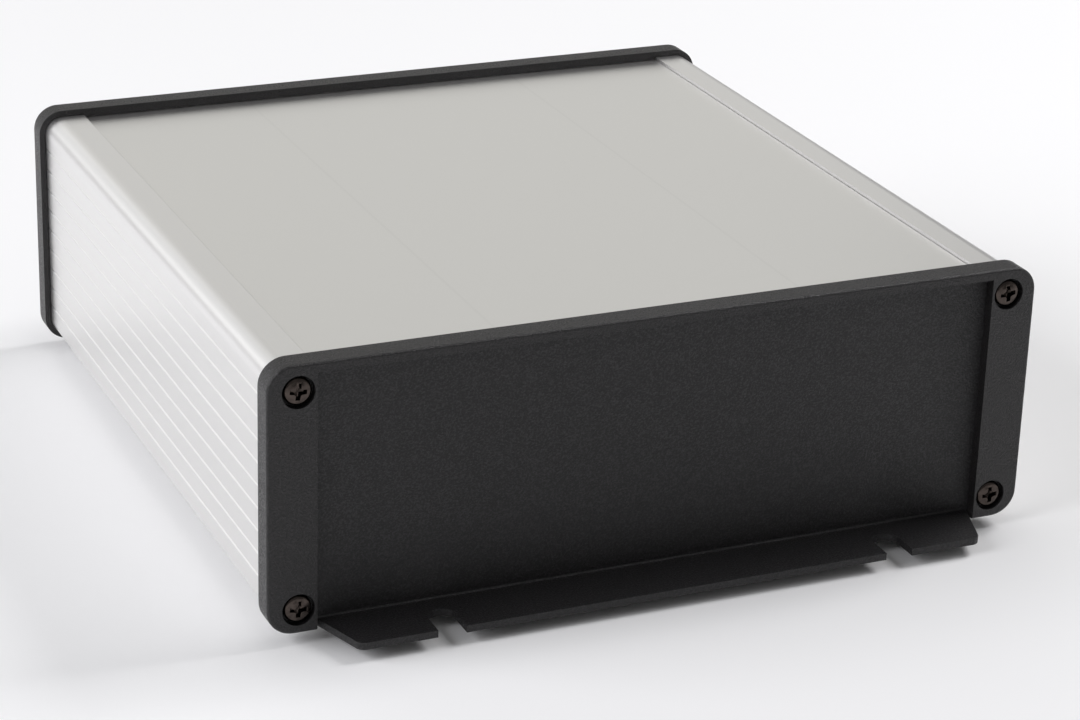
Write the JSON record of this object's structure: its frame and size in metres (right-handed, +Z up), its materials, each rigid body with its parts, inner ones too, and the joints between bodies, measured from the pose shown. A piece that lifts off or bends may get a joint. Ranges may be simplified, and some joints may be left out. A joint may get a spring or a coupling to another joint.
{
  "type": "extruded aluminium enclosure",
  "caption": "Extruded aluminium electronics case with grooved sides, a slide-in cover, black end bezels and bent end panels whose slotted flanges screw down to a surface.",
  "frame": {"origin": "on the ground under the middle of the case, at the centre of its footprint", "axes": "+X to the right along the front panel, +Y from the front end to the rear end along the extrusion, +Z up"},
  "size_m": [0.165, 0.1854, 0.058],
  "materials": {
    "body_anodised": "clear satin anodised extrusion",
    "cover_anodised": "clear satin anodised extrusion",
    "bezel_black": "black fine-texture powder coat",
    "panel_black": "black fine-texture powder coat",
    "screw_dark_steel": "dark bronze-black plated steel",
    "foot_rubber": "matte black"
  },
  "bodies": {
    "root": {"extruded_body": "body_anodised", "slide_cover": "cover_anodised", "front_bezel": "bezel_black", "rear_bezel": "bezel_black", "front_flange_panel": "panel_black", "rear_flange_panel": "panel_black", "front_screw_low_left": "screw_dark_steel", "front_screw_low_right": "screw_dark_steel", "front_screw_top_left": "screw_dark_steel", "front_screw_top_right": "screw_dark_steel", "rear_screw_low_left": "screw_dark_steel", "rear_screw_low_right": "screw_dark_steel", "rear_screw_top_left": "screw_dark_steel", "rear_screw_top_right": "screw_dark_steel", "foot_front_left": "foot_rubber", "foot_front_right": "foot_rubber", "foot_rear_left": "foot_rubber", "foot_rear_right": "foot_rubber"}
  },
  "joints": []
}
